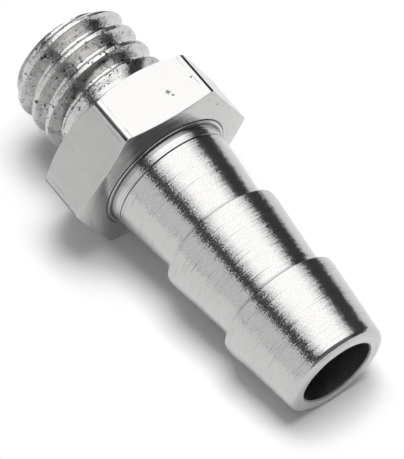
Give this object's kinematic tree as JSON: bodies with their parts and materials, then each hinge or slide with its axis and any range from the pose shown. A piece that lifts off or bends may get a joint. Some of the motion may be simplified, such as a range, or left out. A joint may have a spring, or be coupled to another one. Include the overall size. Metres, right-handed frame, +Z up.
{
  "type": "hose barb tail",
  "caption": "Straight one-piece hose barb tail: metric male thread, spanner hexagon and a tapered barbed tail with a through bore, in bright nickel plate.",
  "frame": {"origin": "on the table, below the centre of the part's box as it rests on the hexagon's lower edge and the tail's nose", "axes": "+X along the part towards the barbed end, level with the table, +Z up; the part's own axis dips 7.2 degrees below +X"},
  "size_m": [0.02, 0.0092, 0.0083],
  "materials": {
    "nickel_plate": "bright nickel plate over turned brass, with fine lathe lines round it and draw lines along the hexagon's flats"
  },
  "bodies": {
    "root": {"hose_barb_tail": "nickel_plate"}
  },
  "joints": []
}
